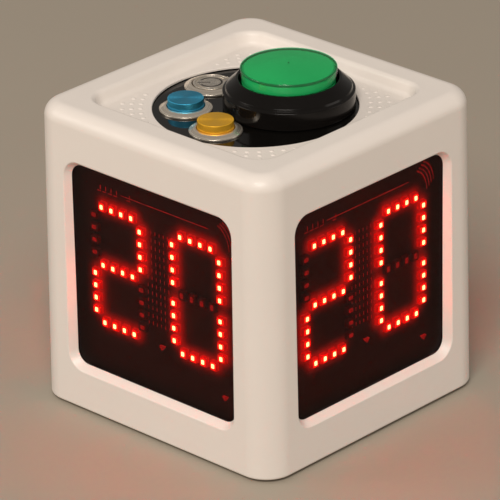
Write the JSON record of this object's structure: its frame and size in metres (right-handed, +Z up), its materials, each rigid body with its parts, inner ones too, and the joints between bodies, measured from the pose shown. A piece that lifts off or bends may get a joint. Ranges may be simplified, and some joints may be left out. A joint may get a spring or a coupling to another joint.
{
  "type": "cube game clock",
  "caption": "Cube-shaped countdown game clock: white moulded casing, smoked window with red segment digits in each side, push buttons in a dished top.",
  "frame": {"origin": "on the table, under the middle of the cube: the bottom centre of the bounding box", "axes": "+Z up; -Y is the front face and +X the right face; the big green button lies towards +X +Y in the top, and the power inlet is in the +Y face"},
  "size_m": [0.1064, 0.1064, 0.1187],
  "materials": {
    "shell_white": "smooth satin-gloss moulded ABS, warm white",
    "panel_black": "mirror-gloss black",
    "body_black": "fine matt moulded texture",
    "lens_smoked": "dark red-smoked acrylic sheet, polished",
    "circuit_black": "black solder mask with fine copper tracks",
    "led_lit": "lit red diode",
    "led_unlit": "unlit red diode, clear face",
    "rubber_black": "soft matt",
    "cap_green": "polished translucent green",
    "cap_blue": "blue anodised, turned finish",
    "cap_gold": "gold anodised, turned finish",
    "steel": "turned stainless steel",
    "spring_steel": "drawn spring wire and pressed sheet",
    "lamp_white": "milky diffuser",
    "battery_wrap": "blue heat-shrink film"
  },
  "bodies": {
    "casing": {"upper_casing": "shell_white", "base_cover": "body_black", "control_panel": "panel_black", "panel_retainer": "body_black", "panel_retainer_screw_1": "steel", "panel_retainer_screw_2": "steel", "panel_retainer_screw_3": "steel", "panel_retainer_screw_4": "steel", "base_screw_1": "steel", "base_screw_2": "steel", "base_screw_3": "steel", "base_screw_4": "steel", "rubber_foot_1": "rubber_black", "rubber_foot_2": "rubber_black", "rubber_foot_3": "rubber_black", "rubber_foot_4": "rubber_black", "display_lens_front": "lens_smoked", "display_lens_right": "lens_smoked", "display_lens_rear": "lens_smoked", "display_lens_left": "lens_smoked", "display_board_front": "circuit_black", "display_board_right": "circuit_black", "display_board_rear": "circuit_black", "display_board_left": "circuit_black", "green_button_body": "panel_black", "green_button_nut": "body_black", "green_button_gasket": "rubber_black", "green_lamp_holder": "body_black", "green_lamp": "lamp_white", "green_microswitch": "body_black", "green_return_spring": "spring_steel", "blue_button_body": "steel", "blue_button_nut": "steel", "blue_button_gasket": "rubber_black", "blue_contact_block": "body_black", "blue_return_spring": "spring_steel", "gold_button_body": "steel", "gold_button_nut": "steel", "gold_button_gasket": "rubber_black", "gold_contact_block": "body_black", "gold_return_spring": "spring_steel", "power_button_body": "steel", "power_button_nut": "steel", "power_button_gasket": "rubber_black", "power_contact_block": "body_black", "power_return_spring": "spring_steel", "main_board": "circuit_black", "main_board_screw_1": "steel", "main_board_screw_2": "steel", "battery_pack": "battery_wrap", "battery_bracket": "spring_steel", "speaker": "body_black", "usb_socket": "steel", "charge_board": "circuit_black"},
    "green_plunger": {"green_button_cap": "cap_green"},
    "switch_lever": {"green_switch_lever": "spring_steel"},
    "blue_plunger": {"blue_button_cap": "cap_blue"},
    "gold_plunger": {"gold_button_cap": "cap_gold"},
    "power_plunger": {"power_button_cap": "steel"}
  },
  "joints": [
    {"name": "green_button_press", "type": "slide", "parent": "casing", "child": "green_plunger", "axis": [0, 0, -1], "range_m": [0, 0.003], "stiffness_N_per_m": 300, "springref_m": -0.003, "deforming": ["green_return_spring"]},
    {"name": "switch_lever_turn", "type": "hinge", "parent": "casing", "child": "switch_lever", "pos_m": [0, 0.0088, 0.0723], "axis": [0, 1, 0], "range_deg": [0, 12]},
    {"name": "blue_button_press", "type": "slide", "parent": "casing", "child": "blue_plunger", "axis": [0, 0, -1], "range_m": [0, 0.0022], "stiffness_N_per_m": 500, "springref_m": -0.002, "deforming": ["blue_return_spring"]},
    {"name": "gold_button_press", "type": "slide", "parent": "casing", "child": "gold_plunger", "axis": [0, 0, -1], "range_m": [0, 0.0022], "stiffness_N_per_m": 500, "springref_m": -0.002, "deforming": ["gold_return_spring"]},
    {"name": "power_button_press", "type": "slide", "parent": "casing", "child": "power_plunger", "axis": [0, 0, -1], "range_m": [0, 0.002], "stiffness_N_per_m": 500, "springref_m": -0.002, "deforming": ["power_return_spring"]}
  ],
  "couplings": [
    {"joint": "switch_lever_turn", "follows": "green_button_press", "rad_per_m": 62.5}
  ]
}
